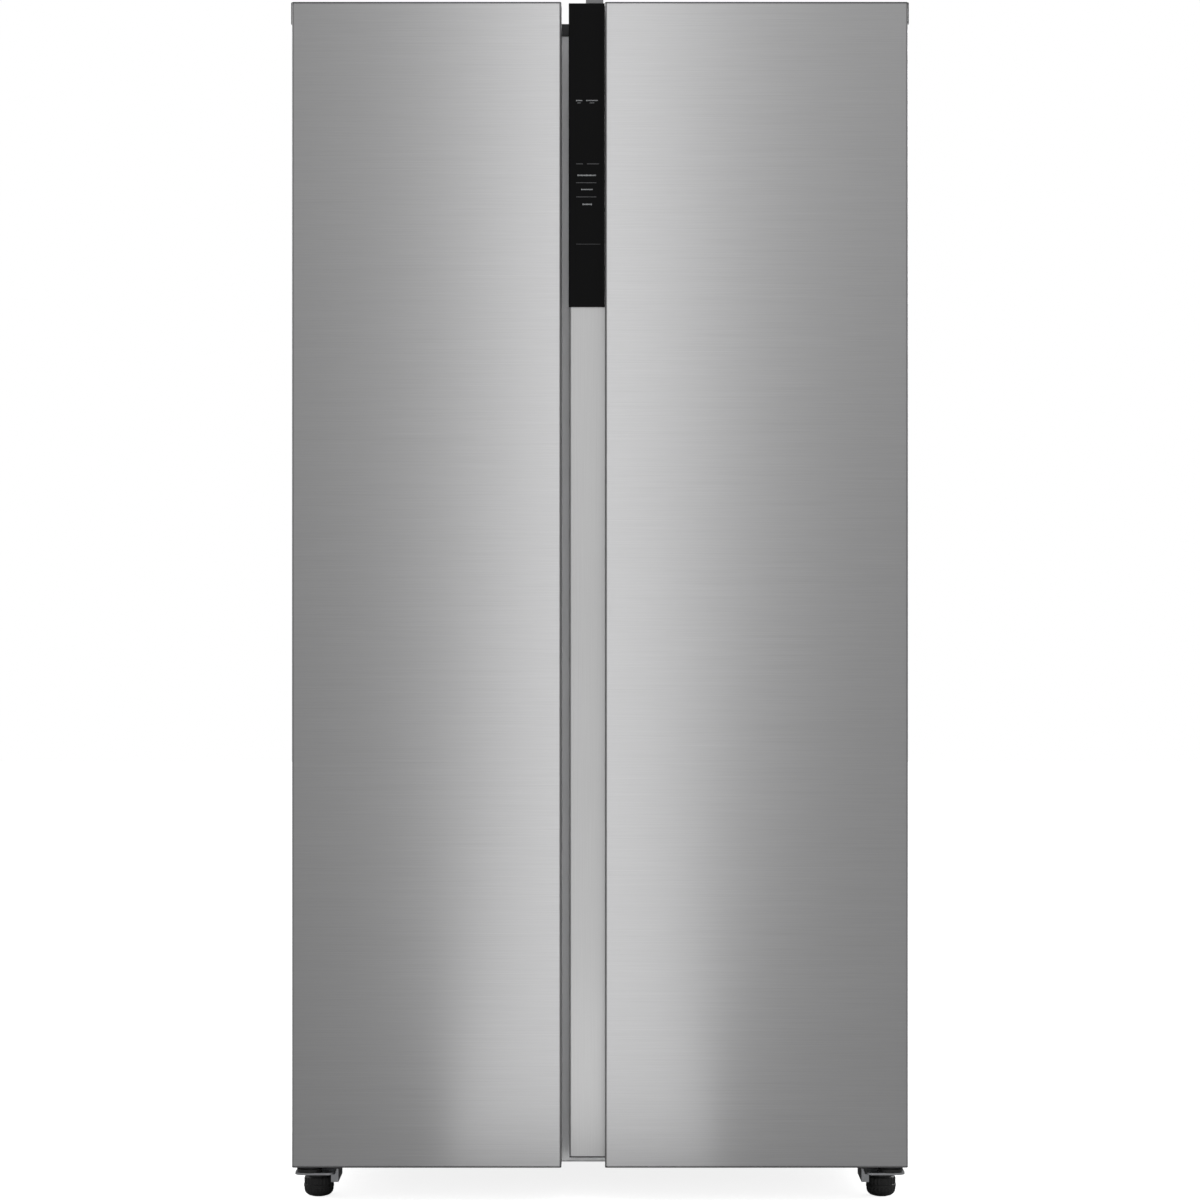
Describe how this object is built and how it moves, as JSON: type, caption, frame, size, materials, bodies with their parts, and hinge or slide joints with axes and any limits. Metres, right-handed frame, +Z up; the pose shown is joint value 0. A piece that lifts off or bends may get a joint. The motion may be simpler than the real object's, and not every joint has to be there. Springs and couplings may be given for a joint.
{
  "type": "side by side refrigerator",
  "caption": "Side-by-side refrigerator with full-height brushed stainless doors, a recessed grip channel and black touch panel between them, glass shelves, drawers and door bins.",
  "frame": {"origin": "on the floor under the middle of the bounding box", "axes": "+Z up, +X to the viewer's right when facing the doors, the doors face -Y"},
  "size_m": [0.9106, 0.7, 1.787],
  "materials": {
    "stainless": "horizontally brushed",
    "case_grey": "satin",
    "back_grey": "galvanised",
    "zinc": "zinc plated",
    "liner_white": "satin moulded",
    "cap_grey": "fine texture",
    "profile_satin": "satin anodised",
    "panel_black": "high gloss",
    "plug_grey": "fine texture",
    "foam": "closed cell foam",
    "seal_grey": "matte",
    "clear_plastic": "clear moulded",
    "shelf_glass": "tempered",
    "trim_silver": "satin",
    "black_plastic": "fine texture",
    "tray_grey": "moulded",
    "black_steel": "semi gloss",
    "coil_aluminium": "mill finish",
    "light_cover": "frosted"
  },
  "bodies": {
    "cabinet": {"left_side_panel": "case_grey", "right_side_panel": "case_grey", "top_panel": "case_grey", "rear_panel": "back_grey", "base_plate": "back_grey", "freezer_liner": "liner_white", "fridge_liner": "liner_white", "cabinet_insulation": "foam", "partition_rail": "case_grey", "top_front_trim": "cap_grey", "shelf_supports": "liner_white", "glass_shelves": "shelf_glass", "shelf_trims": "trim_silver", "freezer_duct_cover": "liner_white", "fridge_duct_cover": "liner_white", "interior_lights": "light_cover", "evaporator": "coil_aluminium", "compressor": "black_steel", "condenser_coil": "black_steel", "drain_tray": "tray_grey", "condenser_fan_frame": "black_plastic", "machine_cover": "black_plastic", "mains_gland": "black_plastic", "control_board_cover": "back_grey", "top_hinges": "zinc", "hinge_covers": "cap_grey", "bottom_hinges": "zinc", "closer_cams": "black_plastic", "roller_brackets": "zinc", "cabinet_screws": "zinc"},
    "freezer_door": {"freezer_door_skin": "stainless", "freezer_door_liner": "liner_white", "freezer_door_insulation": "foam", "freezer_door_top_cap": "cap_grey", "freezer_door_bottom_cap": "cap_grey", "freezer_door_gasket": "seal_grey", "freezer_handle_profile": "profile_satin", "freezer_door_bins": "clear_plastic", "freezer_door_bin_supports": "liner_white"},
    "fridge_door": {"fridge_door_skin": "stainless", "fridge_door_liner": "liner_white", "fridge_door_insulation": "foam", "fridge_door_top_cap": "cap_grey", "fridge_door_bottom_cap": "cap_grey", "fridge_door_gasket": "seal_grey", "fridge_handle_profile": "profile_satin", "fridge_door_bins": "clear_plastic", "fridge_door_bin_supports": "liner_white", "control_panel": "panel_black", "handle_top_plug": "plug_grey"},
    "left_foot": {"left_foot": "black_plastic"},
    "right_foot": {"right_foot": "black_plastic"},
    "left_rear_roller": {"left_rear_roller": "black_plastic"},
    "right_rear_roller": {"right_rear_roller": "black_plastic"},
    "evaporator_fan": {"evaporator_fan": "liner_white"},
    "condenser_fan": {"condenser_fan": "black_plastic"},
    "freezer_drawer_lower": {"freezer_drawer_lower": "clear_plastic"},
    "freezer_drawer_upper": {"freezer_drawer_upper": "clear_plastic"},
    "crisper_drawer_lower": {"crisper_drawer_lower": "clear_plastic"},
    "crisper_drawer_upper": {"crisper_drawer_upper": "clear_plastic"}
  },
  "joints": [
    {"name": "freezer_door_hinge", "type": "hinge", "parent": "cabinet", "child": "freezer_door", "pos_m": [-0.43, -0.325, 0.06], "axis": [0, 0, -1], "range_deg": [0, 130]},
    {"name": "fridge_door_hinge", "type": "hinge", "parent": "cabinet", "child": "fridge_door", "pos_m": [0.43, -0.325, 0.06], "axis": [0, 0, 1], "range_deg": [0, 130]},
    {"name": "freezer_drawer_upper_slide", "type": "slide", "parent": "cabinet", "child": "freezer_drawer_upper", "axis": [0, -1, 0], "range_m": [0, 0.23]},
    {"name": "freezer_drawer_lower_slide", "type": "slide", "parent": "cabinet", "child": "freezer_drawer_lower", "axis": [0, -1, 0], "range_m": [0, 0.14]},
    {"name": "crisper_drawer_upper_slide", "type": "slide", "parent": "cabinet", "child": "crisper_drawer_upper", "axis": [0, -1, 0], "range_m": [0, 0.23]},
    {"name": "crisper_drawer_lower_slide", "type": "slide", "parent": "cabinet", "child": "crisper_drawer_lower", "axis": [0, -1, 0], "range_m": [0, 0.14]},
    {"name": "left_foot_thread", "type": "slide", "parent": "cabinet", "child": "left_foot", "axis": [0, 0, -1], "range_m": [0, 0.015]},
    {"name": "right_foot_thread", "type": "slide", "parent": "cabinet", "child": "right_foot", "axis": [0, 0, -1], "range_m": [0, 0.015]},
    {"name": "left_roller_axle", "type": "hinge", "parent": "cabinet", "child": "left_rear_roller", "pos_m": [-0.4, 0.285, 0.018], "axis": [1, 0, 0], "continuous": true},
    {"name": "right_roller_axle", "type": "hinge", "parent": "cabinet", "child": "right_rear_roller", "pos_m": [0.4, 0.285, 0.018], "axis": [1, 0, 0], "continuous": true},
    {"name": "evaporator_fan_shaft", "type": "hinge", "parent": "cabinet", "child": "evaporator_fan", "pos_m": [-0.238, 0.222, 1.19], "axis": [0, 1, 0], "continuous": true},
    {"name": "condenser_fan_shaft", "type": "hinge", "parent": "cabinet", "child": "condenser_fan", "pos_m": [0.015, 0.224, 0.152], "axis": [1, 0, 0], "continuous": true}
  ],
  "couplings": [
    {"joint": "freezer_drawer_upper_slide", "follows": "freezer_door_hinge", "m_per_rad": 0.1},
    {"joint": "freezer_drawer_lower_slide", "follows": "freezer_door_hinge", "m_per_rad": 0.06},
    {"joint": "crisper_drawer_upper_slide", "follows": "fridge_door_hinge", "m_per_rad": 0.1},
    {"joint": "crisper_drawer_lower_slide", "follows": "fridge_door_hinge", "m_per_rad": 0.06}
  ]
}
